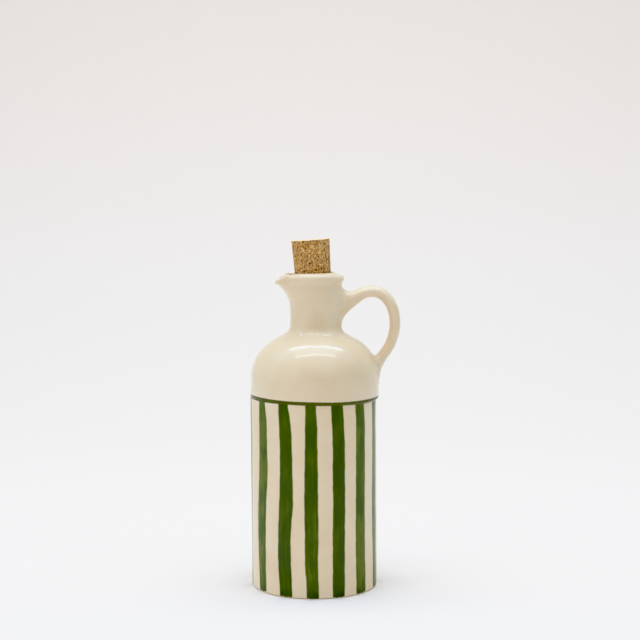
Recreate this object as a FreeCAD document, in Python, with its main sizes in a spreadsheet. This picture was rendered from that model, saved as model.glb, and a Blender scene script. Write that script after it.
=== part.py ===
import FreeCAD, Part
import Sketcher
import math
import os

# Oil cruet: a fired and glazed earthenware bottle with a pulled pouring lip
# and a loop handle, closed by a stopper of agglomerated cork.
# Millimetres.  +Z is up, the origin is the centre of the foot, the pouring
# lip points along -X and the handle stands on the +X side.

doc = FreeCAD.newDocument("oil_cruet")
sheet = doc.addObject("Spreadsheet::Sheet", "Sheet")

SIZES = [
    # lower wall, standing on the foot; it leans a little, as thrown
    ("wall_radius", 40.0), ("wall_height", 121.0), ("wall_lean", -0.8), ("foot_edge", 1.6),
    # shoulder, thrown a little wider than the lower wall
    ("upper_shift", 0.3), ("belt_radius", 40.7), ("belt_edge", 0.8),
    ("shoulder_start", 133.1), ("shoulder_arc", 27.5), ("shoulder_slope", 27.2),
    # neck and lip
    ("neck_radius", 16.1), ("neck_fillet", 3.6), ("neck_top", 190.4),
    ("lip_radius", 18.1), ("lip_height", 199.6), ("lip_edge", 1.9), ("lip_crest", 14.0), ("lip_slope", 20.0),
    # pouring lip
    ("spout_reach", 25.2), ("spout_start", 177.0), ("spout_tip_height", 194.6),
    ("spout_half_width", 9.6), ("spout_channel", 6.6), ("spout_wall", 2.4),
    # mouth and the socket that the stopper fills
    ("mouth_radius", 13.0), ("mouth_shift", -0.4), ("mouth_depth", 9.0), ("mouth_edge", 1.2),
    # handle
    ("crown_across", 36.7), ("crown_height", 187.4), ("reach_across", 50.7), ("reach_height", 167.5),
    ("crown_bend", 16.5), ("root_slope", 36.0), ("under_bend", 17.0), ("under_height", 162.5),
    ("over_bend", 6.0), ("over_height", 193.4), ("lower_bend", 32.0), ("lower_turn", 40.0),
    ("lower_run", 14.0), ("foot_spread", 4.4), ("handle_thick", 7.7), ("handle_thin", 6.7), ("handle_breadth", 11.0),
    # stopper
    ("cork_radius", 11.46), ("cork_taper", 1.9), ("cork_above", 20.65), ("cork_below", 15.8),
    ("cork_lean", -3.9), ("cork_across", -1.22), ("cork_edge", 0.5), ("cork_play", 0.05),
]
S = dict(SIZES)
for row, (alias, value) in enumerate(SIZES, start=1):
    sheet.set("A%d" % row, alias.replace("_", " "))
    sheet.set("B%d" % row, str(value))
    sheet.setAlias("B%d" % row, alias)
doc.recompute()


def plane(body, role):
    for feature in body.Origin.OriginFeatures:
        if feature.Role == role:
            return feature
    raise RuntimeError("no plane " + role)


def new_sketch(body, name, role, base=(0, 0, 0), rotation=None):
    sketch = body.newObject("Sketcher::SketchObject", name)
    sketch.AttachmentSupport = [(plane(body, role), "")]
    sketch.MapMode = "FlatFace"
    sketch.AttachmentOffset = FreeCAD.Placement(FreeCAD.Vector(*base), rotation or FreeCAD.Rotation())
    return sketch


def size_constraint(sketch, name, kind, refs, value, expression):
    index = sketch.addConstraint(Sketcher.Constraint(kind, *refs, value))
    sketch.renameConstraint(index, name)
    sketch.setExpression("Constraints." + name, expression)


def circle_sketch(body, name, radius, expression, base):
    sketch = new_sketch(body, name, "XY_Plane", base)
    sketch.addGeometry(Part.Circle(FreeCAD.Vector(0, 0, 0), FreeCAD.Vector(0, 0, 1), radius), False)
    sketch.addConstraint(Sketcher.Constraint("Coincident", 0, 3, -1, 1))
    size_constraint(sketch, "Radius", "Radius", (0,), radius, expression)
    return sketch


def ellipse_sketch(body, name, role, base, rotation, half_x, half_y, expr_x, expr_y):
    """An ellipse about the sketch's origin with its half axes along x and y."""
    sketch = new_sketch(body, name, role, base, rotation)
    vec = FreeCAD.Vector
    wide = half_x >= half_y
    if wide:
        ellipse = Part.Ellipse(vec(half_x, 0, 0), vec(0, half_y, 0), vec(0, 0, 0))
    else:
        ellipse = Part.Ellipse(vec(0, half_y, 0), vec(-half_x, 0, 0), vec(0, 0, 0))
    sketch.addGeometry(ellipse, False)
    sketch.exposeInternalGeometry(0)
    sketch.addConstraint(Sketcher.Constraint("Coincident", 0, 3, -1, 1))
    along, across = ("Horizontal", "Vertical") if wide else ("Vertical", "Horizontal")
    sketch.addConstraint(Sketcher.Constraint(along, 1))
    big, small = (half_x, half_y) if wide else (half_y, half_x)
    expr_big, expr_small = (expr_x, expr_y) if wide else (expr_y, expr_x)
    size_constraint(sketch, "Long", "Distance", (1,), 2 * big, "2 * (%s)" % expr_big)
    size_constraint(sketch, "Short", "Distance", (2,), 2 * small, "2 * (%s)" % expr_small)
    return sketch


def profile(sketch, start, steps):
    """A closed outline of lines and arcs: ("line", end), ("arc", middle, end)."""
    vec = FreeCAD.Vector
    here = start
    for step in steps:
        end = step[-1]
        if step[0] == "line":
            sketch.addGeometry(Part.LineSegment(vec(here[0], here[1], 0), vec(end[0], end[1], 0)), False)
        else:
            mid = step[1]
            sketch.addGeometry(Part.Arc(vec(here[0], here[1], 0), vec(mid[0], mid[1], 0), vec(end[0], end[1], 0)), False)
        here = end


def on_arc(centre, radius, degrees):
    a = math.radians(degrees)
    return (centre[0] + radius * math.cos(a), centre[1] + radius * math.sin(a))


# ---------------------------------------------------------------- the bottle
bottle = doc.addObject("PartDesign::Body", "bottle_body")
bottle.Label = "bottle"

# Foot: a short turned disc with a rounded edge.
foot_sketch = new_sketch(bottle, "FootProfile", "XZ_Plane")
wr, fe = S["wall_radius"], S["foot_edge"]
profile(foot_sketch, (0.0, 0.0), [
    ("line", (wr - fe, 0.0)),
    ("arc", on_arc((wr - fe, fe), fe, -45), (wr, fe)),
    ("line", (0.0, fe)),
    ("line", (0.0, 0.0)),
])
foot_disc = bottle.newObject("PartDesign::Revolution", "Foot")
foot_disc.Profile = foot_sketch
foot_disc.ReferenceAxis = (foot_sketch, ["V_Axis"])
foot_disc.Angle = 360.0
bottle.Tip = foot_disc
doc.recompute()

# Lower wall: a cylinder whose top stands a little to the spout's side.
foot = circle_sketch(bottle, "FootOutline", S["wall_radius"], "Sheet.wall_radius", (0, 0, S["foot_edge"]))
foot.setExpression("AttachmentOffset.Base.z", "Sheet.foot_edge")
top = circle_sketch(bottle, "WallTopOutline", S["wall_radius"], "Sheet.wall_radius",
                    (S["wall_lean"], 0, S["wall_height"]))
top.setExpression("AttachmentOffset.Base.x", "Sheet.wall_lean")
top.setExpression("AttachmentOffset.Base.z", "Sheet.wall_height")
wall = bottle.newObject("PartDesign::AdditiveLoft", "LowerWall")
wall.Profile = foot
wall.Sections = [top]
wall.Ruled = True
bottle.Tip = wall
doc.recompute()

# Shoulder, neck and lip, turned about one upright axis.
belt, low = S["belt_radius"], S["wall_height"] - 0.4
arc_c = (belt - S["shoulder_arc"], S["shoulder_start"])
# The shoulder rounds over from upright to its slope, runs straight up that slope
# and turns into the neck with a small fillet.
fil, slope = S["neck_fillet"], math.radians(S["shoulder_slope"])
steep = 90.0 - S["shoulder_slope"]
shoulder_end = on_arc(arc_c, S["shoulder_arc"], steep)
corner_z = shoulder_end[1] + (shoulder_end[0] - S["neck_radius"]) * math.tan(slope)
back_off = fil * math.tan(math.radians(steep) / 2)
fil_c = (S["neck_radius"] + fil, corner_z + back_off)
slope_end = on_arc(fil_c, fil, 180.0 + steep)
neck_foot = (S["neck_radius"], fil_c[1])
# The lip is a roll: its top falls outwards from the crest and rounds over.
tilt = math.radians(S["lip_slope"])
edge_end_r = S["lip_radius"] - S["lip_edge"] * (1 - math.sin(tilt))
edge_end_z = S["lip_height"] - math.tan(tilt) * (edge_end_r - S["lip_crest"])
lip_turn = edge_end_z - S["lip_edge"] * math.cos(tilt)
flare_mid_z = (S["neck_top"] + lip_turn) / 2.0
flare_mid_r = S["neck_radius"] + (S["lip_radius"] - S["neck_radius"]) * 0.32
turned = new_sketch(bottle, "TurnedOutline", "XZ_Plane", (S["upper_shift"], 0, 0))
turned.setExpression("AttachmentOffset.Base.x", "Sheet.upper_shift")
edge_c = (S["lip_radius"] - S["lip_edge"], lip_turn)
profile(turned, (0.0, low), [
    ("line", (belt - S["belt_edge"], low)),
    ("arc", on_arc((belt - S["belt_edge"], low + S["belt_edge"]), S["belt_edge"], -45), (belt, low + S["belt_edge"])),
    ("line", (belt, arc_c[1])),
    ("arc", on_arc(arc_c, S["shoulder_arc"], steep / 2), shoulder_end),
    ("line", slope_end),
    ("arc", on_arc(fil_c, fil, 180 + steep / 2), neck_foot),
    ("line", (S["neck_radius"], S["neck_top"])),
    ("arc", (flare_mid_r, flare_mid_z), (S["lip_radius"], lip_turn)),
    ("arc", on_arc(edge_c, S["lip_edge"], (90 - S["lip_slope"]) / 2), (edge_end_r, edge_end_z)),
    ("line", (S["lip_crest"], S["lip_height"])),
    ("line", (0.0, S["lip_height"])),
    ("line", (0.0, low)),
])
upper = bottle.newObject("PartDesign::Revolution", "ShoulderAndNeck")
upper.Profile = turned
upper.ReferenceAxis = (turned, ["V_Axis"])
upper.Angle = 360.0
bottle.Tip = upper
doc.recompute()

# Pouring lip: level ovals that reach further out the higher they lie.
half_length = 12.0
spout_sections = []
for i in range(7):
    u = min(i, 5) / 5.0
    height = S["spout_start"] + (S["spout_tip_height"] - 0.6 - S["spout_start"]) * u
    level = "Sheet.spout_start + (Sheet.spout_tip_height - 0.6 - Sheet.spout_start) * %.3f" % u
    if i == 6:
        height, level = S["lip_height"], "Sheet.lip_height"
    least = S["neck_radius"] - 0.6
    reach = least + (S["spout_reach"] + S["upper_shift"] - least) * u ** 2
    wide = 12.6 + (S["spout_half_width"] - 12.6) * u
    sec = ellipse_sketch(bottle, "SpoutOutline%d" % i, "XY_Plane",
                         (S["upper_shift"] - reach + half_length, 0, height), None,
                         half_length, wide, "12.0",
                         "12.6 + (Sheet.spout_half_width - 12.6) * %.3f" % u)
    sec.setExpression("AttachmentOffset.Base.z", level)
    spout_sections.append(sec)
spout = bottle.newObject("PartDesign::AdditiveLoft", "Spout")
spout.Profile = spout_sections[0]
spout.Sections = spout_sections[1:]
bottle.Tip = spout
doc.recompute()


# Handle: an ear from the neck over the crown and down to the shoulder.  Each
# section is an oval between an inner and an outer point of the ear's outline.
def handle_outline():
    """Pairs (inner point, outer point, extra half breadth) along the ear."""
    pairs = []
    neck_x = S["upper_shift"] + S["neck_radius"]
    under_c = (neck_x + S["under_bend"], S["under_height"])
    over_c = (neck_x + S["over_bend"], S["over_height"])
    for i in range(6):                      # wide root, hollowed below and above
        u = i / 5.0
        inner = on_arc(under_c, S["under_bend"], 180 - 52 * u)
        outer = on_arc(over_c, S["over_bend"], 200 + 85 * u)
        pairs.append((inner, outer, 2.6 * (1 - u) ** 2))
    first = pairs[0]
    pairs.insert(0, ((neck_x - 4.0, first[0][1] + 1.0), (neck_x - 4.0, first[1][1] - 1.0), 2.6))
    centre = []
    cx, cz = S["crown_across"], S["crown_height"]
    for i in range(1, 3):                   # bend up to the crown
        a = math.radians(S["root_slope"]) * (1 - i / 3.0)
        centre.append((cx - S["crown_bend"] * math.sin(a), cz - S["crown_bend"] * (1 - math.cos(a))))
    for i in range(6):                      # crown to the widest reach
        a = math.pi / 2 * (1 - i / 6.0)
        centre.append((cx + (S["reach_across"] - cx) * math.cos(a),
                       S["reach_height"] + (cz - S["reach_height"]) * math.sin(a)))
    turn, last = S["lower_bend"], math.radians(S["lower_turn"])
    for i in range(6):                      # long bend back to the shoulder
        a = last * i / 5.0
        centre.append((S["reach_across"] - turn * (1 - math.cos(a)), S["reach_height"] - turn * math.sin(a)))
    x, z = centre[-1]
    for i in (1, 2, 3, 4):                  # straight into the shoulder, spreading
        d = S["lower_run"] * i / 4.0
        centre.append((x - d * math.sin(last), z - d * math.cos(last)))
    total = len(centre)
    for i, (x, z) in enumerate(centre):
        before, after = centre[max(0, i - 1)], centre[min(total - 1, i + 1)]
        tx, tz = after[0] - before[0], after[1] - before[1]
        norm = math.hypot(tx, tz)
        nx, nz = tz / norm, -tx / norm
        thin = min(1.0, i / (total - 6.0))
        half = (S["handle_thick"] + (S["handle_thin"] - S["handle_thick"]) * thin) / 2
        end = max(0.0, (i - (total - 5.0)) / 4.0)
        within, beyond = half + S["foot_spread"] * 0.57 * end ** 1.6, half + S["foot_spread"] * end ** 1.1
        pairs.append(((x + nx * within, z + nz * within), (x - nx * beyond, z - nz * beyond), 2.0 * end ** 2))
    return pairs


handle_sections = []
for i, (inner, outer, extra) in enumerate(handle_outline()):
    dx, dz = inner[0] - outer[0], inner[1] - outer[1]
    tall = math.hypot(dx, dz)
    nx, nz = dx / tall, dz / tall
    frame = FreeCAD.Matrix(0, nx, -nz, 0, 0, nz, nx, 0, 1, 0, 0, 0, 0, 0, 0, 1)
    sec = ellipse_sketch(bottle, "HandleOutline%d" % i, "XZ_Plane",
                         ((inner[0] + outer[0]) / 2, (inner[1] + outer[1]) / 2, 0), FreeCAD.Rotation(frame),
                         S["handle_breadth"] / 2 + extra, tall / 2,
                         "Sheet.handle_breadth / 2 + %.3f" % extra, "%.4f" % (tall / 2))
    handle_sections.append(sec)
handle = bottle.newObject("PartDesign::AdditiveLoft", "Handle")
handle.Profile = handle_sections[0]
handle.Sections = handle_sections[1:]
bottle.Tip = handle
doc.recompute()

# The spout's rim slopes down to its tip.
slope_sketch = new_sketch(bottle, "LipSlope", "XZ_Plane")
inner_x = S["upper_shift"] - S["neck_radius"] - 1.2
tip_x = -S["spout_reach"]
fall = (S["lip_height"] - S["spout_tip_height"]) / (inner_x - tip_x)
far_x = tip_x - 3.0
profile(slope_sketch, (inner_x, S["lip_height"]), [
    ("line", (far_x, S["lip_height"] - fall * (inner_x - far_x))),
    ("line", (far_x, S["lip_height"] + 4)),
    ("line", (inner_x, S["lip_height"] + 4)),
    ("line", (inner_x, S["lip_height"])),
])
slope_cut = bottle.newObject("PartDesign::Pocket", "SlopedLip")
slope_cut.Profile = slope_sketch
slope_cut.Type = 1
slope_cut.Midplane = True
bottle.Tip = slope_cut
doc.recompute()

# Mouth: a short funnel with a rounded edge.
mouth_sketch = new_sketch(bottle, "MouthOutline", "XZ_Plane", (S["mouth_shift"], 0, 0))
mouth_sketch.setExpression("AttachmentOffset.Base.x", "Sheet.mouth_shift")
mr, me = S["mouth_radius"], S["mouth_edge"]
mouth_low = S["lip_height"] - S["mouth_depth"]
profile(mouth_sketch, (0.0, S["lip_height"] + 1.0), [
    ("line", (mr + me + 0.0, S["lip_height"] + 1.0)),
    ("line", (mr + me + 0.0, S["lip_height"])),
    ("arc", on_arc((mr + me, S["lip_height"] - me), me, 135), (mr, S["lip_height"] - me)),
    ("line", (mr - 0.5, mouth_low)),
    ("line", (0.0, mouth_low)),
    ("line", (0.0, S["lip_height"] + 1.0)),
])
mouth = bottle.newObject("PartDesign::Groove", "Mouth")
mouth.Profile = mouth_sketch
mouth.ReferenceAxis = (mouth_sketch, ["V_Axis"])
mouth.Angle = 360.0
bottle.Tip = mouth
doc.recompute()

# Channel of the spout: the same ovals, one wall thickness further in.
channel_sections = []
for i in range(4):
    u = i / 3.0
    height = S["lip_height"] - 7.8 + 8.8 * u
    reach = 12.0 + (S["spout_reach"] + S["upper_shift"] - S["spout_wall"] - 12.0) * u ** 0.8
    wide = S["spout_channel"] * (0.80 + 0.20 * u)
    sec = ellipse_sketch(bottle, "ChannelOutline%d" % i, "XY_Plane",
                         (S["upper_shift"] - reach + 10.0, 0, height), None,
                         10.0, wide, "10.0", "Sheet.spout_channel * %.3f" % (0.80 + 0.20 * u))
    sec.setExpression("AttachmentOffset.Base.z", "Sheet.lip_height - 7.8 + 8.8 * %.3f" % u)
    channel_sections.append(sec)
channel = bottle.newObject("PartDesign::SubtractiveLoft", "SpoutChannel")
channel.Profile = channel_sections[0]
channel.Sections = channel_sections[1:]
bottle.Tip = channel
doc.recompute()

# Socket: the neck's bore, closed on the stopper all round.
lean = FreeCAD.Rotation(FreeCAD.Vector(0, -1, 0), -S["cork_lean"] * 1.0)
taper = math.tan(math.radians(S["cork_taper"]))
play, deep = S["cork_play"], S["cork_below"]
socket_sketch = new_sketch(bottle, "SocketOutline", "XZ_Plane",
                           (S["cork_across"], S["lip_height"], 0),
                           FreeCAD.Rotation(FreeCAD.Vector(0, 0, 1), -S["cork_lean"]))
socket_sketch.setExpression("AttachmentOffset.Base.x", "Sheet.cork_across")
socket_sketch.setExpression("AttachmentOffset.Base.y", "Sheet.lip_height")
socket_sketch.setExpression("AttachmentOffset.Rotation.Angle", "-Sheet.cork_lean")
profile(socket_sketch, (0.0, 2.0), [
    ("line", (S["cork_radius"] + play + 2.0 * taper, 2.0)),
    ("line", (S["cork_radius"] + play - deep * taper, -deep)),
    ("line", (0.0, -deep)),
    ("line", (0.0, 2.0)),
])
socket = bottle.newObject("PartDesign::Groove", "Socket")
socket.Profile = socket_sketch
socket.ReferenceAxis = (socket_sketch, ["V_Axis"])
socket.Angle = 360.0
bottle.Tip = socket
doc.recompute()

# --------------------------------------------------------------- the stopper
cork = doc.addObject("PartDesign::Body", "cork_body")
cork.Label = "cork"
cork_sketch = new_sketch(cork, "StopperOutline", "XZ_Plane")
ce, above = S["cork_edge"], S["cork_above"]
r_top, r_low = S["cork_radius"] + above * taper, S["cork_radius"] - deep * taper
profile(cork_sketch, (0.0, -deep), [
    ("line", (r_low - ce, -deep)),
    ("line", (r_low + ce * taper, -deep + ce)),
    ("line", (r_top - ce * taper, above - ce)),
    ("line", (r_top - ce, above)),
    ("line", (0.0, above)),
    ("line", (0.0, -deep)),
])
turned_cork = cork.newObject("PartDesign::Revolution", "Stopper")
turned_cork.Profile = cork_sketch
turned_cork.ReferenceAxis = (cork_sketch, ["V_Axis"])
turned_cork.Angle = 360.0
cork.Tip = turned_cork
cork.Placement = FreeCAD.Placement(FreeCAD.Vector(S["cork_across"], 0, S["lip_height"]),
                                   FreeCAD.Rotation(FreeCAD.Vector(0, 1, 0), S["cork_lean"]))
cork.setExpression("Placement.Base.x", "Sheet.cork_across")
cork.setExpression("Placement.Base.z", "Sheet.lip_height")
cork.setExpression("Placement.Rotation.Angle", "Sheet.cork_lean")
doc.recompute()

# ------------------------------------------------------------ check and write
for obj in doc.Objects:
    if "Invalid" in obj.State or "Error" in obj.State:
        raise RuntimeError("%s did not compute: %s" % (obj.Name, obj.State))
    if obj.TypeId.startswith("PartDesign::") and (obj.Shape.isNull() or not obj.Shape.isValid()):
        raise RuntimeError("%s has no valid shape" % obj.Name)
for body in (bottle, cork):
    shape = body.Shape
    if shape.isNull() or not shape.isValid() or len(shape.Solids) != 1:
        raise RuntimeError("%s is not one valid solid" % body.Label)
    print("%-8s %9.1f mm3  %s" % (body.Label, shape.Volume, shape.BoundBox))
overlap = bottle.Shape.common(cork.Shape).Volume
print("overlap of stopper and bottle %.4f mm3" % overlap)

os.makedirs("parts", exist_ok=True)
for body in (bottle, cork):
    body.Shape.exportStep("parts/%s.step" % body.Label)
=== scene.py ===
"""Looks of the oil cruet: a glazed earthenware bottle with painted stripes, and its cork.

Lengths in the shape functions are millimetres, in the frame's own axes; the
meshes are in metres.  Everything is worked out here by formula.
"""
import bpy
import math
import numpy as np
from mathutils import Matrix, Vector


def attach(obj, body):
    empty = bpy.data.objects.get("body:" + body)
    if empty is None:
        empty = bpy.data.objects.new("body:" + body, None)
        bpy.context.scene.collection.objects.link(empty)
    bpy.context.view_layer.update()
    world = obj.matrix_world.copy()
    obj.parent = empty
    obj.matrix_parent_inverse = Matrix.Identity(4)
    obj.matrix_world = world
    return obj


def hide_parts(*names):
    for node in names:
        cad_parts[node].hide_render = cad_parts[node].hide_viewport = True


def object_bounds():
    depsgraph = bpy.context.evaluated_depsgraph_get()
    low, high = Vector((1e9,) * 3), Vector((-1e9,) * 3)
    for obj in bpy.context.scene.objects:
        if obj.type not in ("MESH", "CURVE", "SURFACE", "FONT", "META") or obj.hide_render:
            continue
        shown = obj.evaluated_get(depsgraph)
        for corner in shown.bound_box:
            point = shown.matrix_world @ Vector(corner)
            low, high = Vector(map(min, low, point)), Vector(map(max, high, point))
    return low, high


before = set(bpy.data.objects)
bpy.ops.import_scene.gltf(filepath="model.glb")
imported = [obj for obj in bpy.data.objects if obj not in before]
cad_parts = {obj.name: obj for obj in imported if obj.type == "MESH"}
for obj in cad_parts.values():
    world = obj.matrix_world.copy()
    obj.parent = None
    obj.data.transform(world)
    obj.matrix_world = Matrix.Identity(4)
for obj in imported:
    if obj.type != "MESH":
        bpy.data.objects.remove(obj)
cad_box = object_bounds()
MM = 0.001
rng = np.random.default_rng(20261)


# ------------------------------------------------------------------ small maths
def sstep(a, b, x):
    t = np.clip((x - a) / (b - a), 0.0, 1.0)
    return t * t * (3 - 2 * t)


def round_min(a, b, k):
    """Union with a fillet of radius k in the inner corner."""
    ua, ub = np.maximum(k - a, 0.0), np.maximum(k - b, 0.0)
    return np.maximum(k, np.minimum(a, b)) - np.sqrt(ua * ua + ub * ub)


def round_max(a, b, k):
    """Intersection with the outer corner rounded to radius k."""
    ua, ub = np.maximum(k + a, 0.0), np.maximum(k + b, 0.0)
    return np.minimum(-k, np.maximum(a, b)) + np.sqrt(ua * ua + ub * ub)


def soft_min(a, b, k):
    h = np.clip(0.5 + 0.5 * (b - a) / k, 0.0, 1.0)
    return b * (1 - h) + a * h - k * h * (1 - h)


def hermite(xs, ys, x):
    """Smooth curve through a few values (Catmull-Rom on uneven knots)."""
    xs, ys = np.asarray(xs, float), np.asarray(ys, float)
    m = np.gradient(ys, xs)
    x = np.clip(x, xs[0], xs[-1])
    i = np.clip(np.searchsorted(xs, x) - 1, 0, len(xs) - 2)
    w = xs[i + 1] - xs[i]
    t = (x - xs[i]) / w
    t2, t3 = t * t, t * t * t
    return ((2 * t3 - 3 * t2 + 1) * ys[i] + (t3 - 2 * t2 + t) * w * m[i]
            + (-2 * t3 + 3 * t2) * ys[i + 1] + (t3 - t2) * w * m[i + 1])


# ------------------------------------------------------------- the bottle's form
WALL_R, WALL_TOP, WALL_LEAN = 39.93, 120.6, -0.8
BELT_R, SHOULDER_Z, SHOULDER_ARC, SLOPE = 40.54, 133.1, 27.4, math.radians(27.2)
NECK_R, RIM_Z, SPOUT_X = 16.05, 199.5, 25.1
MOUTH_R, BORE_Z = 12.9, 182.9


def axis_shift(z):
    """How far the turned axis wanders towards the handle."""
    return 0.12 + 0.46 * sstep(136.0, 160.0, z) + 0.16 * sstep(160.0, 172.0, z)


def handle_pairs():
    """Inner and outer points of the ear, and its extra half breadth."""
    def arc(c, r, deg):
        a = math.radians(deg)
        return (c[0] + r * math.cos(a), c[1] + r * math.sin(a))
    pairs = []
    neck_x, root_shift = 16.4, 0.0
    for i in range(9):
        u = i / 8.0
        inner = arc((neck_x + 17.0, 162.5), 17.0, 180 - 52 * u)
        outer = arc((neck_x + 6.0, 193.4), 6.0, 200 + 85 * u)
        pairs.append((inner, outer, 2.6 * (1 - u) ** 2))
    first = pairs[0]
    pairs.insert(0, ((9.0, first[0][1] + 1.0), (9.0, first[1][1] - 1.0), 2.6))
    centre = []
    cx, cz, rx, rz = 36.7, 187.4, 50.7, 167.5
    for i in range(1, 4):
        a = math.radians(36.0) * (1 - i / 4.0)
        centre.append((cx - 16.5 * math.sin(a), cz - 16.5 * (1 - math.cos(a))))
    for i in range(12):
        a = math.pi / 2 * (1 - i / 12.0)
        centre.append((cx + (rx - cx) * math.cos(a), rz + (cz - rz) * math.sin(a)))
    last = math.radians(40.0)
    for i in range(10):
        a = last * i / 9.0
        centre.append((rx - 32.0 * (1 - math.cos(a)), rz - 32.0 * math.sin(a)))
    x, z = centre[-1]
    for i in range(1, 7):
        d = 18.0 * i / 6.0
        centre.append((x - d * math.sin(last), z - d * math.cos(last)))
    total = len(centre)
    for i, (x, z) in enumerate(centre):
        before, after = centre[max(0, i - 1)], centre[min(total - 1, i + 1)]
        tx, tz = after[0] - before[0], after[1] - before[1]
        norm = math.hypot(tx, tz)
        nx, nz = tz / norm, -tx / norm
        thin = min(1.0, i / (total - 10.0))
        half = (7.7 + (6.7 - 7.7) * thin) / 2
        end = max(0.0, (i - (total - 7.0)) / 5.2)
        within, beyond = half + 1.6 * end ** 1.6, half + 3.6 * end ** 1.15
        pairs.append(((x + nx * within, z + nz * within), (x - nx * beyond, z - nz * beyond), 1.8 * end ** 2))
    return pairs


PAIRS = handle_pairs()
P_IN = np.array([p[0] for p in PAIRS])
P_OUT = np.array([p[1] for p in PAIRS])
CENTRE = (P_IN + P_OUT) / 2
HALF = np.hypot(*(P_IN - P_OUT).T) / 2
EXTRA = np.array([p[2] for p in PAIRS])
OUTLINE = np.vstack([P_OUT, P_IN[::-1]])


def outline_distance(x, z):
    """Signed distance to the ear's side outline, negative inside."""
    best = np.full(x.shape, 1e9)
    inside = np.zeros(x.shape, bool)
    for p, q in zip(OUTLINE, np.roll(OUTLINE, -1, axis=0)):
        ex, ez = q - p
        wx, wz = x - p[0], z - p[1]
        t = np.clip((wx * ex + wz * ez) / (ex * ex + ez * ez), 0, 1)
        best = np.minimum(best, (wx - ex * t) ** 2 + (wz - ez * t) ** 2)
        cross = (p[1] > z) != (q[1] > z)
        if ez != 0:
            inside ^= cross & (x < ex * (z - p[1]) / ez + p[0])
    return np.where(inside, -1.0, 1.0) * np.sqrt(best)


def ear_values(x, z):
    """Half thickness and half breadth of the ear at the nearest section."""
    best = np.full(x.shape, 1e9)
    half, extra = np.zeros(x.shape), np.zeros(x.shape)
    for i in range(len(CENTRE) - 1):
        p, q = CENTRE[i], CENTRE[i + 1]
        ex, ez = q - p
        wx, wz = x - p[0], z - p[1]
        t = np.clip((wx * ex + wz * ez) / (ex * ex + ez * ez), 0, 1)
        d = (wx - ex * t) ** 2 + (wz - ez * t) ** 2
        near = d < best
        best = np.where(near, d, best)
        half = np.where(near, HALF[i] + (HALF[i + 1] - HALF[i]) * t, half)
        extra = np.where(near, EXTRA[i] + (EXTRA[i + 1] - EXTRA[i]) * t, extra)
    return half, 5.5 + extra


TAB_X, TAB_Z, TAB_D = 4.0, 118.0, 0.25
_gx, _gz = np.meshgrid(np.arange(TAB_X, 62.0, TAB_D), np.arange(TAB_Z, 204.0, TAB_D), indexing="ij")
TAB_OUT = outline_distance(_gx, _gz)
TAB_HALF, TAB_WIDE = ear_values(_gx, _gz)


def table(tab, x, z):
    u = np.clip((x - TAB_X) / TAB_D, 0, tab.shape[0] - 1.001)
    v = np.clip((z - TAB_Z) / TAB_D, 0, tab.shape[1] - 1.001)
    i, j = u.astype(int), v.astype(int)
    u, v = u - i, v - j
    return (tab[i, j] * (1 - u) * (1 - v) + tab[i + 1, j] * u * (1 - v)
            + tab[i, j + 1] * (1 - u) * v + tab[i + 1, j + 1] * u * v)


def ear(x, y, z):
    d2, half, wide = table(TAB_OUT, x, z), table(TAB_HALF, x, z), table(TAB_WIDE, x, z)
    across = np.maximum(1 + d2 / half, 0.0)
    up = np.abs(y) / wide
    k0 = np.sqrt(across ** 2 + up ** 2) + 1e-9
    k1 = np.sqrt((across / half) ** 2 + (up / wide) ** 2) + 1e-9
    return k0 * (k0 - 1) / k1


PULL_Z = [168.0, 172.0, 176.0, 180.0, 182.0, 184.0, 186.0, 188.0, 190.0, 191.4, 192.4, 193.6, 200.0]
PULL = [0.0, 0.018, 0.035, 0.062, 0.108, 0.195, 0.305, 0.46, 0.625, 0.785, 0.955, 1.0, 1.0]


def spout_push(z, phi):
    """How far the wall is pulled out into the pouring lip, outside and inside."""
    rise = np.clip((z - 176.0) / 16.6, 0, 1.0)
    outer = (SPOUT_X + 0.72 - NECK_R) * hermite(PULL_Z, PULL, z)
    inner = 10.6 * np.clip((z - 187.0) / 8.6, 0, 1.0) ** 1.25
    w_out = 30.0 + 20.0 * (1 - rise)
    return (outer * np.exp(-np.abs(phi / w_out) ** 2.3),
            inner * np.exp(-np.abs(phi / 26.0) ** 2.6))


def rim_height(x):
    """The rim is level, and falls to the spout's tip."""
    t = np.maximum(-15.6 - x, 0.0)
    return RIM_Z - 0.62 * (np.sqrt(t * t + 3.0) - 1.732) - 1.15 * sstep(10.5, 15.5, x)


def unevenness(theta, z):
    """Slight hand-made departures from round, in millimetres."""
    return (0.075 * np.sin(2 * theta + z / 47.0 + 0.7) + 0.045 * np.sin(3 * theta - z / 29.0 + 2.1)
            + 0.03 * np.sin(5 * theta + z / 17.0) + 0.02 * np.sin(z / 5.3 + 1.4 * np.sin(theta + 0.4)))


def ledge_height(theta):
    """Under edge of the shoulder's belt, a little lower on the handle's side."""
    return WALL_TOP - 0.55 * np.cos(theta) + 0.08 * np.sin(2 * theta + 1.0)


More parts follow.
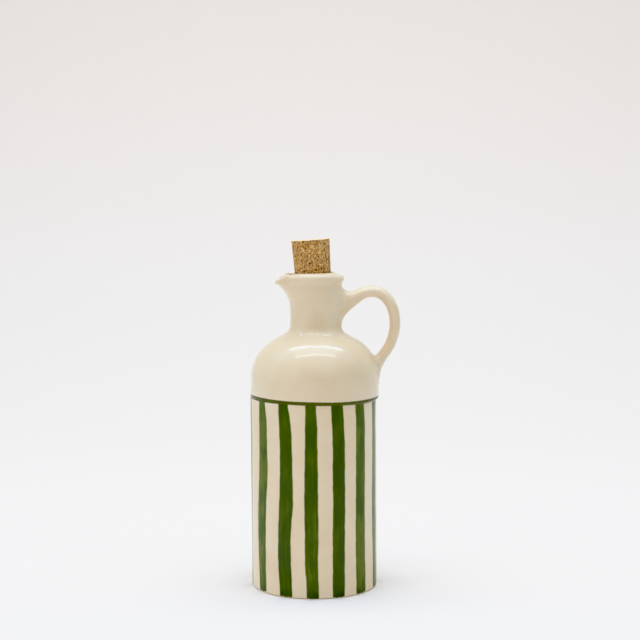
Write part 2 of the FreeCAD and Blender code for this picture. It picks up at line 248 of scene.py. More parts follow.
def bottle_field(x, y, z):
    """Signed distance to the glazed surface, negative inside."""
    # lower wall
    lean = WALL_LEAN * np.clip(z / WALL_TOP, 0, 1)
    r = np.hypot(x - lean, y)
    theta = np.arctan2(y, x)
    bump = unevenness(theta, z)
    wall = round_max(r - WALL_R - bump * 0.8, -z, 1.5)
    wall = np.maximum(wall, z - 126.0)
    # shoulder
    sx = axis_shift(z)
    ru = np.hypot(x - sx, y)
    dz = z - SHOULDER_Z
    core = BELT_R - SHOULDER_ARC
    out = ru - core
    steep = dz * math.sin(SLOPE) > out * math.cos(SLOPE)
    dome = np.where(steep, out * math.sin(SLOPE) + dz * math.cos(SLOPE) - SHOULDER_ARC,
                    np.hypot(out, dz) - SHOULDER_ARC)
    dome = np.where(dz > 0, dome, ru - BELT_R)
    dome = round_max(dome - bump, ledge_height(theta) - z, 0.75)
    # neck with its lip and spout
    phi = np.degrees(np.arctan2(y, -(x - sx)))
    push_out, push_in = spout_push(z, phi)
    flare = 0.10 * sstep(178.0, 191.0, z) + 0.26 * sstep(175.0, 164.0, z) + 1.95 * sstep(190.6, 195.8, z)
    slope = 1.0 / np.sqrt(1.0 + (2 * push_out / 16.4 * 2.0) ** 2 * 0.25 + 0.3 * sstep(190.6, 193.0, z) * sstep(196.5, 194.5, z))
    neck = (ru - NECK_R - flare - push_out - bump * 0.6) * slope
    neck = np.maximum(neck, 150.0 - z)
    fall = 0.36 - 0.18 * sstep(10.0, 16.0, x) - 0.30 * sstep(-14.0, -18.0, x)
    top = (z - rim_height(x) + fall * np.maximum(ru - 14.0, 0.0)) * (1 - 0.5 * fall ** 2) * 0.99
    neck = round_max(neck, top, 1.9)
    body = round_min(dome, neck, 3.2)
    body = round_min(wall, body, 0.45)
    # handle
    near = (x > 6) & (np.abs(y) < 24) & (z > 122) & (z < 201)
    if near.any():
        h = ear(x[near], y[near], z[near])
        k = 1.5 + 3.0 * sstep(1.0, 6.0, np.abs(y[near])) + 1.2 * sstep(172, 150, z[near])
        body = body.copy()
        body[near] = soft_min(body[near], h, k)
    # mouth
    mx = -1.1 + (197.8 - z) * 0.068 + 0.7 * sstep(188.0, 198.0, z)
    rm = np.hypot(x - mx, y)
    phim = np.degrees(np.arctan2(y, -(x - mx)))
    _, push_m = spout_push(z, phim)
    bore = rm - (MOUTH_R - 1.65 * (1 - sstep(188.5, 198.5, z))) - push_m
    bore = bore / np.sqrt(1 + (push_m / 8.0) ** 2 * 0.6)
    hollow = np.maximum(bore, BORE_Z - z)
    return round_max(body, -hollow, 1.35)


# ------------------------------------------------ surface nets on a polar lattice
def spaced(*runs):
    out = []
    for start, stop, step in runs:
        n = max(1, int(round((stop - start) / step)))
        out += [start + (stop - start) * i / n for i in range(n)]
    out.append(runs[-1][1])
    return np.array(out)


def nets(field, thetas, radii, heights):
    nt, nr, nz = len(thetas), len(radii), len(heights)
    T, R, Z = np.meshgrid(thetas, radii, heights, indexing="ij")
    F = np.empty(T.shape)
    for a in range(0, nt, 24):
        s = slice(a, a + 24)
        F[s] = field(R[s] * np.cos(T[s]), R[s] * np.sin(T[s]), Z[s])
    S = F < 0
    step = thetas[1] - thetas[0]

    def corner(A, dt, dr, dz):
        A = np.roll(A, -dt, axis=0) if dt else A
        return A[:, dr:nr - 1 + dr, dz:nz - 1 + dz]
    count = np.zeros((nt, nr - 1, nz - 1))
    pt, pr, pz = np.zeros_like(count), np.zeros_like(count), np.zeros_like(count)
    base_t = T[:, :nr - 1, :nz - 1]
    corners = [(i, j, k) for i in (0, 1) for j in (0, 1) for k in (0, 1)]
    for a in corners:
        for ax in range(3):
            if a[ax]:
                continue
            b = tuple(1 if n == ax else a[n] for n in range(3))
            fa, fb = corner(F, *a), corner(F, *b)
            m = (fa < 0) != (fb < 0)
            t = np.where(m, fa / np.where(m, fa - fb, 1.0), 0.0)
            ra, rb = corner(R, *a), corner(R, *b)
            za, zb = corner(Z, *a), corner(Z, *b)
            pt += np.where(m, step * (a[0] + (b[0] - a[0]) * t), 0)
            pr += np.where(m, ra + (rb - ra) * t, 0)
            pz += np.where(m, za + (zb - za) * t, 0)
            count += m
    has = count > 0
    index = -np.ones(has.shape, int)
    index[has] = np.arange(has.sum())
    c = count[has]
    th, rr, zz = base_t[has] + pt[has] / c, pr[has] / c, pz[has] / c
    verts = np.stack([rr * np.cos(th), rr * np.sin(th), zz], 1)
    quads = []

    def add(mask, i0, i1, i2, i3, flip):
        q = np.stack([i0[mask], i1[mask], i2[mask], i3[mask]], 1)
        f = flip[mask]
        q[f] = q[f][:, ::-1]
        quads.append(q)
    prev = np.roll(index, 1, axis=0)
    # edges along theta
    A, B = S, np.roll(S, -1, axis=0)
    m = (A != B)[:, 1:nr - 1, 1:nz - 1]
    add(m, index[:, :-1, :-1], index[:, 1:, :-1], index[:, 1:, 1:], index[:, :-1, 1:], B[:, 1:nr - 1, 1:nz - 1])
    # edges along r
    A, B = S[:, :-1, :], S[:, 1:, :]
    m = (A != B)[:, :, 1:nz - 1]
    add(m, prev[:, :, :-1], prev[:, :, 1:], index[:, :, 1:], index[:, :, :-1], B[:, :, 1:nz - 1])
    # edges along z
    A, B = S[:, :, :-1], S[:, :, 1:]
    m = (A != B)[:, 1:nr - 1, :]
    add(m, prev[:, :-1, :], index[:, :-1, :], index[:, 1:, :], prev[:, 1:, :], B[:, 1:nr - 1, :])
    faces = np.concatenate(quads)
    tris = []
    extra = []
    for k in range(nz - 1):          # close the little round holes about the axis
        ring = index[:, 0, k]
        if (ring >= 0).all():
            up = S[0, 0, k]           # inside below: surface faces up
            mid = len(verts) + len(extra)
            extra.append([0.0, 0.0, verts[ring][:, 2].mean()])
            nxt = np.roll(ring, -1)
            t = np.stack([ring, nxt, np.full(nt, mid)], 1)
            tris.append(t if up else t[:, ::-1])
    if extra:
        verts = np.vstack([verts, extra])
    return verts, faces, (np.concatenate(tris) if tris else np.zeros((0, 3), int))


def gradient(field, P, h=0.02):
    g = np.empty_like(P)
    for i in range(3):
        a, b = P.copy(), P.copy()
        a[:, i] += h
        b[:, i] -= h
        g[:, i] = (field(*a.T) - field(*b.T)) / (2 * h)
    return g


def settle(field, P, rounds=4, reach=0.6):
    for _ in range(rounds):
        f = field(*P.T)
        g = gradient(field, P)
        n2 = np.maximum((g * g).sum(1), 0.05)
        move = -(f / n2)[:, None] * g
        size = np.linalg.norm(move, axis=1)
        move *= np.minimum(1.0, reach / np.maximum(size, 1e-9))[:, None]
        P = P + move
    return P


def relax(P, faces, tris, fixed, amount=0.5):
    """Even out the lattice: every point towards the middle of its neighbours."""
    total, count = np.zeros_like(P), np.zeros(len(P))
    for block in (faces, tris):
        n = block.shape[1]
        for i in range(n):
            a, b = block[:, i], block[:, (i + 1) % n]
            np.add.at(total, a, P[b])
            np.add.at(total, b, P[a])
            np.add.at(count, a, 1)
            np.add.at(count, b, 1)
    mean = total / np.maximum(count, 1)[:, None]
    out = P + (mean - P) * amount
    out[fixed] = P[fixed]
    return out


def build_mesh(name, verts, faces, tris):
    mesh = bpy.data.meshes.new(name)
    nq, nt = len(faces), len(tris)
    mesh.vertices.add(len(verts))
    mesh.vertices.foreach_set("co", (verts * MM).astype(np.float32).ravel())
    mesh.loops.add(nq * 4 + nt * 3)
    mesh.loops.foreach_set("vertex_index", np.concatenate([faces.ravel(), tris.ravel()]).astype(np.int32))
    mesh.polygons.add(nq + nt)
    starts = np.concatenate([np.arange(nq) * 4, nq * 4 + np.arange(nt) * 3]).astype(np.int32)
    mesh.polygons.foreach_set("loop_start", starts)
    mesh.polygons.foreach_set("use_smooth", np.ones(nq + nt, bool))
    mesh.update(calc_edges=True)
    mesh.validate()
    return mesh


def attribute(mesh, name, values):
    layer = mesh.attributes.new(name, "FLOAT", "POINT")
    layer.data.foreach_set("value", np.asarray(values, np.float32))


TURNS = 300
thetas = np.arange(TURNS) * (2 * math.pi / TURNS)
radii = spaced((0.6, 9.0, 2.8), (9.0, 27.0, 0.95), (27.0, 38.0, 1.1), (38.0, 39.4, 0.7), (39.4, 41.4, 0.33), (41.4, 57.0, 1.05))
heights = spaced((-0.8, 2.8, 0.4), (2.8, 118.6, 1.6), (118.6, 120.0, 0.7), (120.0, 122.4, 0.3), (122.4, 128.0, 0.8),
                 (128.0, 189.0, 1.0), (189.0, 200.9, 0.6))
verts, faces, tris = nets(bottle_field, thetas, radii, heights)
verts = settle(bottle_field, verts, 3)
flat = np.abs(verts[:, 2]) < 0.05
for _ in range(3):
    axis = np.hypot(verts[:, 0], verts[:, 1]) < 0.5
    verts = relax(verts, faces, tris, axis, 0.45)
    verts = settle(bottle_field, verts, 2)
verts[:, 2] = np.maximum(verts[:, 2], 0.0)


# ------------------------------------------------------------ hand-painted bands
# Edges of the upright stripes, degrees round from the front towards the handle,
# at a few heights; the rest go on round the back at the same beat.
KNOTS = [0.0, 8.0, 21.0, 40.0, 59.0, 77.0, 96.0, 108.0, 119.0]
PAINTED = [
    ([-88.0, -88.0, -88.5, -88.0, -87.5, -87.0, -87.0, -87.5, -87.0],
     [-76.5, -76.5, -77.0, -76.5, -76.0, -75.5, -75.0, -75.5, -76.0]),
    ([-59.0, -59.3, -60.5, -61.3, -60.5, -58.5, -57.9, -57.7, -57.5],
     [-48.4, -48.6, -48.9, -48.7, -47.6, -45.5, -46.1, -46.2, -48.2]),
    ([-32.4, -32.9, -34.1, -33.9, -32.6, -31.6, -31.5, -32.1, -32.6],
     [-19.9, -20.1, -20.8, -20.9, -18.6, -18.8, -19.3, -20.1, -22.6]),
    ([-6.9, -7.1, -8.3, -8.3, -8.6, -8.2, -7.6, -7.4, -7.0],
     [4.1, 4.0, 3.5, 4.1, 3.9, 3.9, 3.6, 3.5, 2.5]),
    ([16.3, 16.3, 16.5, 16.5, 17.1, 16.8, 17.0, 16.4, 15.6],
     [28.3, 28.3, 28.4, 28.6, 29.0, 28.9, 28.9, 28.1, 27.2]),
    ([40.6, 40.6, 40.3, 40.1, 40.5, 40.6, 40.8, 40.9, 40.1],
     [53.0, 53.1, 52.7, 52.5, 52.4, 52.7, 52.7, 52.8, 51.4]),
    ([66.9, 66.8, 66.9, 65.6, 65.4, 66.1, 66.5, 66.6, 66.3],
     [77.5, 77.5, 76.7, 76.8, 76.4, 77.2, 77.8, 76.8, 78.9]),
]
for n in range(7):
    mid = 97.4 + 25.3 * n + rng.uniform(-0.7, 0.7)
    half = rng.uniform(5.6, 6.4)
    drift = np.cumsum(rng.normal(0, 0.45, len(KNOTS)))
    drift -= drift.mean()
    swell = rng.normal(0, 0.22, len(KNOTS))
    PAINTED.append((list(mid - half + drift - swell), list(mid + half + drift + swell)))
# how light the wash of each stripe is, and how far below the line it starts
WASH = [0.35, 0.62, 0.22, 0.30, 0.12, 0.60, 0.45] + list(rng.uniform(0.1, 0.65, 7))
START = [-0.9, -0.6, -1.2, -1.2, -1.1, -0.7, -1.0] + list(rng.uniform(-1.3, -0.6, 7))
FINISH = [0.6, 0.9, 0.5, 0.2, 0.4, 0.5, 0.7] + list(rng.uniform(0.2, 1.0, 7))


def paint_values(P):
    """Per point: distance inside the nearest stripe, place across it, its number."""
    x, y, z = P.T
    lean = WALL_LEAN * np.clip(z / WALL_TOP, 0, 1)
    angle = np.degrees(np.arctan2(x - lean, -y))
    theta = np.arctan2(y, x)
    best = np.full(len(P), -50.0)
    across, number, wash = np.zeros(len(P)), np.zeros(len(P)), np.zeros(len(P))
    scale = math.radians(1) * WALL_R
    for n, (left, right) in enumerate(PAINTED):
        lo, hi = hermite(KNOTS, left, z), hermite(KNOTS, right, z)
        fine = 0.10 * np.sin(z / 2.3 + 4 * n) + 0.07 * np.sin(z / 1.1 + 2 * n)
        mid, half = (lo + hi) / 2, (hi - lo) / 2
        off = (angle - mid + 180.0) % 360.0 - 180.0
        d = (half + fine - np.abs(off)) * scale
        edge = np.clip(1 - (off / half) ** 2, 0, 1)
        top = ledge_height(theta) - START[n] - 0.9 * (1 - np.sqrt(edge)) - z
        low = z - FINISH[n] + 0.5 * (np.sqrt(edge) - 1) + 0.25 * np.sin(off * 1.3 + n)
        d = np.minimum(d, np.minimum(top, low))
        near = d > best
        best = np.where(near, d, best)
        across = np.where(near, off * scale, across)
        number = np.where(near, float(n), number)
        wash = np.where(near, WASH[n], wash)
    r = np.hypot(x - 0.1, y)
    mid_line = ledge_height(theta) + 0.80 + 0.10 * np.sin(3 * theta + 0.5)
    thick = 1.30 + 0.10 * np.sin(2 * theta + 1.7) + 0.06 * np.sin(7 * theta)
    line = thick - np.abs(z - mid_line)
    return best, across, number, wash, line, r


mesh = build_mesh("glazed_bottle", verts, faces, tris)
stripe, across, number, wash, line, _ = paint_values(verts)
attribute(mesh, "stripe", stripe)
attribute(mesh, "across", across)
attribute(mesh, "number", number)
attribute(mesh, "wash", wash)
attribute(mesh, "line", line)
attribute(mesh, "around", np.degrees(np.arctan2(verts[:, 0], -verts[:, 1])))
bottle = bpy.data.objects.new("glazed_bottle", mesh)
bpy.context.scene.collection.objects.link(bottle)
print("bottle mesh", len(verts), "points", len(faces) * 2 + len(tris), "triangles")


# ------------------------------------------------------------------ node helpers
class Nodes:
    """A thin shorthand for building a node tree."""

    def __init__(self, tree):
        self.tree = tree
        tree.nodes.clear()

    def add(self, kind, **props):
        node = self.tree.nodes.new(kind)
        for key, value in props.items():
            setattr(node, key, value)
        return node

    def put(self, node, name, value):
        socket = node.inputs[name]
        if isinstance(value, bpy.types.NodeSocket):
            self.tree.links.new(value, socket)
        else:
            socket.default_value = value
        return node

    def math(self, op, a, b=None, c=None, clamp=False):
        node = self.add("ShaderNodeMath", operation=op, use_clamp=clamp)
        for i, v in enumerate((a, b, c)):
            if v is not None:
                self.put(node, i, v)
        return node.outputs[0]

    def ramp(self, value, lo, hi, smooth=True):
        node = self.add("ShaderNodeMapRange", clamp=True, interpolation_type="SMOOTHSTEP" if smooth else "LINEAR")
        self.put(node, 0, value)
        self.put(node, 1, lo)
        self.put(node, 2, hi)
        return node.outputs[0]

    def mix(self, factor, a, b, blend="MIX"):
        node = self.add("ShaderNodeMix", data_type="RGBA", blend_type=blend)
        self.put(node, 0, factor)
        for i, v in ((6, a), (7, b)):
            self.put(node, i, v if isinstance(v, bpy.types.NodeSocket) else (*v, 1.0)[:4])
        return node.outputs[2]

    def attr(self, name):
        return self.add("ShaderNodeAttribute", attribute_name=name).outputs["Fac"]

    def noise(self, vector, scale, detail=2.0, rough=0.5, dims="3D"):
        node = self.add("ShaderNodeTexNoise", noise_dimensions=dims)
        self.put(node, "Vector", vector)
        self.put(node, "Scale", scale)
        self.put(node, "Detail", detail)
        self.put(node, "Roughness", rough)
        return node.outputs["Fac"]

    def xyz(self, x, y, z):
        node = self.add("ShaderNodeCombineXYZ")
        for i, v in enumerate((x, y, z)):
            self.put(node, i, v)
        return node.outputs[0]


def material(name):
    mat = bpy.data.materials.new(name)
    mat.use_nodes = True
    return mat, Nodes(mat.node_tree)


# -------------------------------------------------------------- glaze with paint
CREAM = (0.816, 0.692, 0.505)
CREAM_WARM = (0.790, 0.650, 0.448)
LEAF = (0.078, 0.128, 0.0)
LEAF_DARK = (0.038, 0.078, 0.0)
LEAF_THIN = (0.185, 0.215, 0.020)
OLIVE = (0.072, 0.076, 0.0)
BISCUIT = (0.72, 0.60, 0.46)

glaze, n = material("cream_glaze_with_painted_stripes")
place = n.add("ShaderNodeTexCoord").outputs["Object"]
sep = n.add("ShaderNodeSeparateXYZ")
n.put(sep, 0, place)
height = n.math("MULTIPLY", sep.outputs[2], 1000.0)
stripe_a, across_a, number_a = n.attr("stripe"), n.attr("across"), n.attr("number")
wash_a, line_a = n.attr("wash"), n.attr("line")
# cream, slightly cloudy
cloud = n.noise(place, 38.0, 3.0, 0.55)
cream = n.mix(n.ramp(cloud, 0.35, 0.68), CREAM, CREAM_WARM)
# brush marks run along each stripe
along = n.xyz(n.math("MULTIPLY", across_a, 0.85), n.math("MULTIPLY", height, 0.028), n.math("MULTIPLY", number_a, 7.3))
hairs = n.noise(along, 1.0, 3.0, 0.62)
pools = n.noise(n.xyz(n.math("MULTIPLY", across_a, 0.16), n.math("MULTIPLY", height, 0.062), n.math("MULTIPLY", number_a, 3.1)), 1.0, 2.0, 0.5)
light = n.math("ADD", n.math("MULTIPLY", hairs, 0.75), n.math("MULTIPLY", pools, 0.85))
light = n.math("ADD", light, n.math("MULTIPLY", wash_a, 0.55))
light = n.ramp(light, 0.72, 1.32)
green = n.mix(light, LEAF_DARK, LEAF)
green = n.mix(n.math("MULTIPLY", n.ramp(light, 0.62, 1.0), 0.35), green, LEAF_THIN)
# the stripes' green goes darker, in patches, over the lowest 7 mm towards the foot
darker_by_foot = n.math("MULTIPLY", n.ramp(height, 7.0, 1.5), n.math("MULTIPLY", n.ramp(pools, 0.3, 0.6), 0.75))
green = n.mix(darker_by_foot, green, (0.012, 0.026, 0.003))
ragged = n.math("MULTIPLY", n.math("SUBTRACT", n.noise(place, 900.0, 2.0, 0.6), 0.5), 0.22)
stripe_mask = n.ramp(n.math("ADD", stripe_a, ragged), -0.16, 0.26)
edge_thin = n.math("MULTIPLY", n.ramp(stripe_a, 0.85, 0.05), 0.45)
green = n.mix(edge_thin, green, (0.27, 0.26, 0.02))
line_noise = n.noise(n.xyz(n.math("MULTIPLY", n.attr("around"), 0.11), n.math("MULTIPLY", height, 0.5), 0.0), 1.0, 2.0, 0.5)
line_green = n.mix(n.ramp(line_noise, 0.35, 0.9), OLIVE, LEAF)
line_mask = n.ramp(n.math("ADD", line_a, n.math("MULTIPLY", ragged, 1.3)), -0.20, 0.34)
colour = n.mix(stripe_mask, cream, green)
colour = n.mix(n.math("MULTIPLY", line_mask, 0.985), colour, line_green)
# a few iron specks under the glaze
specks = n.add("ShaderNodeTexVoronoi", feature="F1")
n.put(specks, "Vector", place)
n.put(specks, "Scale", 62.0)
n.put(specks, "Randomness", 1.0)
pick = n.add("ShaderNodeSeparateColor")
n.put(pick, 0, specks.outputs["Color"])
dot = n.math("MULTIPLY", n.ramp(specks.outputs["Distance"], 0.030, 0.016), n.ramp(pick.outputs[0], 0.90, 0.93))
colour = n.mix(n.math("MULTIPLY", dot, 0.55), colour, (0.26, 0.15, 0.07))
# bare clay under the foot
bare = n.math("MULTIPLY", n.ramp(height, 0.30, 0.06), 1.0)
clay = n.mix(n.noise(place, 420.0, 4.0, 0.7), BISCUIT, (0.80, 0.71, 0.58))
colour = n.mix(bare, colour, clay)
ripple = n.noise(place, 62.0, 2.0, 0.45)
peel = n.noise(place, 520.0, 2.0, 0.5)
lumps = n.math("ADD", n.math("MULTIPLY", ripple, 1.0), n.math("MULTIPLY", peel, 0.045))
lumps = n.math("ADD", lumps, n.math("MULTIPLY", stripe_mask, 0.02))
bump = n.add("ShaderNodeBump")
n.put(bump, "Height", lumps)
bump.inputs["Strength"].default_value = 0.22
bump.inputs["Distance"].default_value = 0.0011
shader = n.add("ShaderNodeBsdfPrincipled")
n.put(shader, "Base Color", colour)
gloss = n.math("ADD", n.math("MULTIPLY", n.noise(place, 150.0, 3.0, 0.6), 0.06), 0.10)
gloss = n.math("ADD", gloss, n.math("MULTIPLY", bare, 0.72), clamp=True)
n.put(shader, "Roughness", gloss)
shader.inputs["IOR"].default_value = 1.52
n.put(shader, "Normal", bump.outputs[0])
out = n.add("ShaderNodeOutputMaterial")
n.tree.links.new(shader.outputs[0], out.inputs[0])
mesh.materials.append(glaze)
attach(bottle, "root")
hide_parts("bottle")

# ---------------------------------------------------------------------- the cork
CORK_R, CORK_TAPER, CORK_UP, CORK_DOWN = 11.38, math.tan(math.radians(1.9)), 22.38, 13.7
CORK_AT, CORK_TURN = np.array([-1.1, 0.0, 197.8]), math.radians(3.9)


def granules(points, spacing, seed):
    """Pressed granules: nearest seed, its number, and how near the next one is."""
    from mathutils.kdtree import KDTree
    g = np.random.default_rng(seed)
    lo, hi = points.min(0) - 2, points.max(0) + 2
    counts = np.ceil((hi - lo) / spacing).astype(int)
    ii = np.stack(np.meshgrid(*[np.arange(c) for c in counts], indexing="ij"), -1).reshape(-1, 3)
    seeds = lo + (ii + g.uniform(0.0, 1.0, ii.shape)) * spacing
    radius = np.hypot(seeds[:, 0], seeds[:, 1])
    keep = (radius > 7.0) | (seeds[:, 2] > CORK_UP - 4)
    keep |= seeds[:, 2] < -CORK_DOWN + 3
    seeds = seeds[keep]
    tree = KDTree(len(seeds))
    for i, p in enumerate(seeds):
        tree.insert(p, i)
    tree.balance()
    first, second, which = np.empty(len(points)), np.empty(len(points)), np.empty(len(points), int)
    for i, p in enumerate(points):
        near = tree.find_n(p, 2)
        first[i], second[i], which[i] = near[0][2], near[1][2], near[0][1]
    return first, second, which, g.uniform(0, 1, len(seeds)), g.uniform(0, 1, len(seeds))


SEG = 190
edge = 0.35
wall_levels = np.concatenate([np.linspace(-CORK_DOWN, -3.0, 8), np.linspace(-2.4, CORK_UP - edge, 58)])
rings = [(0.0, -CORK_DOWN)]
rings += [(r, -CORK_DOWN) for r in (3.0, 6.0, 9.0, CORK_R - CORK_DOWN * CORK_TAPER - 0.6)]
rings += [(CORK_R + z * CORK_TAPER, z) for z in wall_levels[0:]]
r_top = CORK_R + CORK_UP * CORK_TAPER
for a in (22.5, 45.0, 67.5):
    rings.append((r_top - edge + edge * math.cos(math.radians(a)), CORK_UP - edge + edge * math.sin(math.radians(a))))
inner = np.linspace(r_top - edge, 0.45, 26)
rings += [(r, CORK_UP) for r in inner]
rings.append((0.0, CORK_UP))
rings_a = np.array(rings)
points, where = [], []
for i, (r, z) in enumerate(rings):
    if r == 0.0:
        points.append((0.0, 0.0, z))
    else:
        a = np.arange(SEG) * 2 * math.pi / SEG
        points += list(np.stack([r * np.cos(a), r * np.sin(a), np.full(SEG, z)], 1))
points = np.array(points)
cork_faces, cork_tris = [], []
for i in range(1, len(rings) - 2):
    a, b = 1 + (i - 1) * SEG, 1 + i * SEG
    k = np.arange(SEG)
    nx = (k + 1) % SEG
    cork_faces.append(np.stack([a + k, a + nx, b + nx, b + k], 1))
cork_faces = np.concatenate(cork_faces)
k = np.arange(SEG)
nx = (k + 1) % SEG
last = 1 + (len(rings) - 3) * SEG
cork_tris = np.concatenate([np.stack([np.zeros(SEG, int), 1 + nx, 1 + k], 1),
                            np.stack([np.full(SEG, len(points) - 1), last + k, last + nx], 1)])
f1, f2, which, tone, lift = granules(points, 1.45, 7)
g1, g2, which2, tone2, lift2 = granules(points, 0.72, 11)
seam = np.clip((f2 - f1) / 0.42, 0, 1)
seam2 = np.clip((g2 - g1) / 0.22, 0, 1)
pit = (lift[which] < 0.085) * np.clip(1 - f1 / 0.85, 0, 1)
small_pit = (lift2[which2] < 0.06) * np.clip(1 - g1 / 0.42, 0, 1)
depth = 0.10 * (1 - seam) + 0.10 * lift[which] * seam + 0.05 * (1 - seam2) + 0.45 * pit + 0.28 * small_pit
radial = points.copy()
radial[:, 2] = 0
length = np.linalg.norm(radial, axis=1)
radial = np.where(length[:, None] > 0.3, radial / np.maximum(length, 1e-6)[:, None], 0)
top_w = sstep(CORK_UP - edge * 0.9, CORK_UP - 0.05, points[:, 2])
low_w = sstep(-CORK_DOWN + 0.4, -CORK_DOWN + 0.05, points[:, 2])
inwards = -radial * (1 - top_w)[:, None] - np.array([0, 0, 1.0]) * top_w[:, None]
inwards = inwards * (1 - low_w)[:, None]
nick = 0.25 * sstep(0.55, 0.9, np.sin(7 * np.arctan2(points[:, 1], points[:, 0]) + 1.2) * 0.5 + 0.5)
rimmy = np.exp(-((points[:, 2] - (CORK_UP - edge * 0.5)) / 0.5) ** 2) * np.exp(-((length - r_top + edge * 0.4) / 0.5) ** 2)
cork_points = points + inwards * (depth + nick * rimmy * lift[which])[:, None]
c, s_ = math.cos(CORK_TURN), math.sin(CORK_TURN)
turned = np.stack([cork_points[:, 0] * c - cork_points[:, 2] * s_, cork_points[:, 1],
                   cork_points[:, 0] * s_ + cork_points[:, 2] * c], 1) + CORK_AT
cork_mesh = build_mesh("cork_stopper", turned, cork_faces, cork_tris)
attribute(cork_mesh, "tone", tone[which])
attribute(cork_mesh, "fine", tone2[which2])
attribute(cork_mesh, "top", top_w)
attribute(cork_mesh, "seam", seam)
attribute(cork_mesh, "seam_fine", seam2)
attribute(cork_mesh, "pit", np.clip(pit * 1.6 + small_pit * 1.5, 0, 1))
cork = bpy.data.objects.new("cork_stopper", cork_mesh)
bpy.context.scene.collection.objects.link(cork)

bark, n = material("pressed_cork")
place = n.add("ShaderNodeTexCoord").outputs["Object"]
tone_a, fine_a = n.attr("tone"), n.attr("fine")
body = n.mix(n.ramp(tone_a, 0.0, 1.0, smooth=False), (0.63, 0.305, 0.078), (0.98, 0.640, 0.270))
body = n.mix(n.math("MULTIPLY", n.ramp(fine_a, 0.45, 1.0), 0.55), body, (0.97, 0.80, 0.50))
body = n.mix(n.math("MULTIPLY", n.ramp(fine_a, 0.36, 0.12), 0.92), body, (0.15, 0.055, 0.010))
grit = n.noise(place, 1500.0, 3.0, 0.7)
body = n.mix(n.math("MULTIPLY", n.ramp(grit, 0.58, 0.42), 0.55), body, (0.24, 0.105, 0.03))
body = n.mix(n.math("MULTIPLY", n.ramp(n.attr("seam"), 0.5, 0.0), 0.55), body, (0.16, 0.065, 0.018))
body = n.mix(n.math("MULTIPLY", n.ramp(n.attr("seam_fine"), 0.4, 0.0), 0.30), body, (0.20, 0.085, 0.025))
body = n.mix(n.math("MULTIPLY", n.attr("pit"), 0.9), body, (0.055, 0.022, 0.008))
# painted light: the cork's flat top and its rounded edge are painted paler, as if lit from above
body = n.mix(n.math("MULTIPLY", n.attr("top"), 0.70), body, (0.96, 0.82, 0.58))
bump = n.add("ShaderNodeBump")
n.put(bump, "Height", n.math("ADD", n.math("MULTIPLY", grit, 0.6), n.math("MULTIPLY", fine_a, 0.4)))
bump.inputs["Strength"].default_value = 0.55
bump.inputs["Distance"].default_value = 0.00035
shader = n.add("ShaderNodeBsdfPrincipled")
n.put(shader, "Base Color", body)
n.put(shader, "Roughness", n.math("ADD", n.math("MULTIPLY", grit, 0.15), 0.74))
n.put(shader, "Normal", bump.outputs[0])
out = n.add("ShaderNodeOutputMaterial")
n.tree.links.new(shader.outputs[0], out.inputs[0])
cork_mesh.materials.append(bark)
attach(cork, "root")
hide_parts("cork")
print("cork mesh", len(turned), "points")

# ----------------------------------------------------------- floor and backdrop
def sweep():
    """A pale sheet: level floor that turns up into the wall behind."""
    rows = [(-3.2, 0.0), (-0.6, 0.0), (0.0, 0.0), (0.3, 0.0), (0.5, 0.0)]
    for i in range(1, 17):
        a = math.pi / 2 * i / 16
        rows.append((0.5 + 0.55 * math.sin(a), 0.55 - 0.55 * math.cos(a)))
    rows += [(1.05, 1.4), (1.05, 3.2)]
    pts, quads = [], []
    cols = [-4.0, -1.0, 1.0, 4.0]
    for y, z in rows:
        for x in cols:
            pts.append((x, y, z))
    for i in range(len(rows) - 1):
        for j in range(len(cols) - 1):
            a = i * len(cols) + j
            quads.append((a, a + 1, a + 1 + len(cols), a + len(cols)))
    m = bpy.data.meshes.new("sweep")
    m.from_pydata(pts, [], quads)
    m.polygons.foreach_set("use_smooth", [True] * len(m.polygons))
    o = bpy.data.objects.new("sweep", m)
    bpy.context.scene.collection.objects.link(o)
    return o


floor = sweep()
paper, n = material("pale_paper")
place = n.add("ShaderNodeTexCoord").outputs["Object"]
fibre = n.noise(place, 40.0, 3.0, 0.6)
paper_z = n.add("ShaderNodeSeparateXYZ")
n.put(paper_z, 0, place)
# painted light: the sheet's colour changes with height, paler up the wall from 0.45 m, instead of one even colour
shade = n.mix(n.ramp(paper_z.outputs[2], 0.0, 0.45), (0.935, 0.885, 0.835), (0.925, 0.880, 0.840))
shade = n.mix(n.ramp(paper_z.outputs[2], 0.45, 1.3), shade, (0.98, 0.95, 0.91))
shade = n.mix(n.math("MULTIPLY", fibre, 0.02), shade, (0.75, 0.75, 0.75))
shader = n.add("ShaderNodeBsdfPrincipled")
n.put(shader, "Base Color", shade)
shader.inputs["Roughness"].default_value = 0.9
shader.inputs["Specular IOR Level"].default_value = 0.1
out = n.add("ShaderNodeOutputMaterial")
n.tree.links.new(shader.outputs[0], out.inputs[0])
floor.data.materials.append(paper)

# ------------------------------------------------------------------------ lights
world = bpy.data.worlds.new("tent")
bpy.context.scene.world = world
world.use_nodes = True
n = Nodes(world.node_tree)
way = n.add("ShaderNodeTexCoord").outputs["Generated"]
sep = n.add("ShaderNodeSeparateXYZ")
n.put(sep, 0, way)
wx, wy, wz = sep.outputs
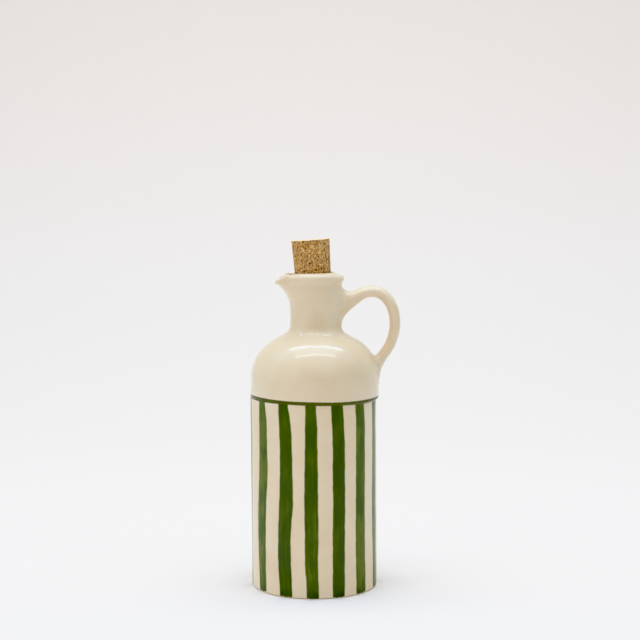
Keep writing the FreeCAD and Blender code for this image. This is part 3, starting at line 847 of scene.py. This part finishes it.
# the tent is open and dark on the side it is seen from, white all round else
flank = n.mix(n.ramp(wx, -0.5, 0.5), (0.72, 0.59, 0.42), (0.40, 0.43, 0.40))
side = n.mix(n.ramp(wx, -0.6, 0.6), (0.58, 0.79, 0.92), (0.10, 0.25, 0.24))
tent = n.mix(n.ramp(wy, -1.0, -0.72), (0.29, 0.105, 0.0), flank)
tent = n.mix(n.ramp(wy, -0.80, -0.15), tent, side)
over = n.mix(n.ramp(wy, -0.9, 0.2), (0.54, 0.60, 0.66), (0.66, 0.83, 1.12))
tent = n.mix(n.ramp(wz, 0.25, 0.85), tent, over)
tent = n.mix(n.ramp(wz, 0.02, -0.25), tent, (0.22, 0.14, 0.06))
back = n.add("ShaderNodeBackground")
n.put(back, "Color", tent)
back.inputs["Strength"].default_value = 1.37
out = n.add("ShaderNodeOutputWorld")
n.tree.links.new(back.outputs[0], out.inputs[0])


def panel(name, at, aim, size, power, colour=(1, 1, 1)):
    data = bpy.data.lights.new(name, "AREA")
    data.shape = "RECTANGLE"
    data.size, data.size_y = size
    data.energy = power
    data.color = colour
    o = bpy.data.objects.new(name, data)
    o.location = at
    o.rotation_euler = (Vector(aim) - Vector(at)).to_track_quat("-Z", "Y").to_euler()
    bpy.context.scene.collection.objects.link(o)
    return o


def glow(size, radiance):
    """Watts that give a panel of this size the radiance."""
    return radiance * math.pi * size[0] * size[1]


TOP = 0.86
for name, y, wide, bright in (("strip_back", 0.204, 0.070, 7.5), ("strip_front", -0.320, 0.050, 7.0)):
    size = (0.82, wide)
    panel(name, (0.0, y * (TOP - 0.15), TOP), (0.0, y * (TOP - 0.15), 0.0), size, glow(size, bright), (0.97, 0.97, 1.03))
size = (0.76, 0.33)
panel("ceiling", (0.0, -0.058 * (TOP - 0.15), TOP + 0.01), (0.0, -0.058 * (TOP - 0.15), 0.0), size, glow(size, 0.85), (1.0, 0.95, 1.0))

# A low wash on the sweep behind, turned away from the cruet.
wash = panel("wash", (0.0, 0.30, 0.95), (0.0, 1.05, 0.25), (1.5, 0.30), 1.4, (1.0, 0.93, 0.86))
wash.visible_glossy = False

# ------------------------------------------------------------------------ camera
cam = bpy.data.cameras.new("camera")
cam.sensor_fit = "HORIZONTAL"
cam.sensor_width = 36.0
cam.lens = 85.02
cam.clip_start, cam.clip_end = 0.05, 20.0
eye = bpy.data.objects.new("camera", cam)
eye.location = (0.00338, -0.9505, 0.2562)
eye.rotation_euler = (math.pi / 2 - 0.0913, 0.0, 0.0)
bpy.context.scene.collection.objects.link(eye)
bpy.context.scene.camera = eye
bpy.context.scene.view_settings.view_transform = "Standard"
bpy.context.scene.view_settings.look = "None"
# the film's own contrast: a firm toe and a soft shoulder
view = bpy.context.scene.view_settings
view.use_curve_mapping = True
film = view.curve_mapping
film.black_level = (0.036, 0.036, 0.043)
film.white_level = (1.3, 1.3, 1.3)
curve = film.curves[3]
curve.points[0].location = (0.0, 0.0)
curve.points[-1].location = (1.0, 0.955)
for u, v in ((0.2, 0.2622), (0.4, 0.5245), (0.58, 0.7605), (0.68, 0.862), (0.80, 0.918)):
    curve.points.new(u, v)
for point in curve.points[:3]:
    point.handle_type = "VECTOR"
film.update()
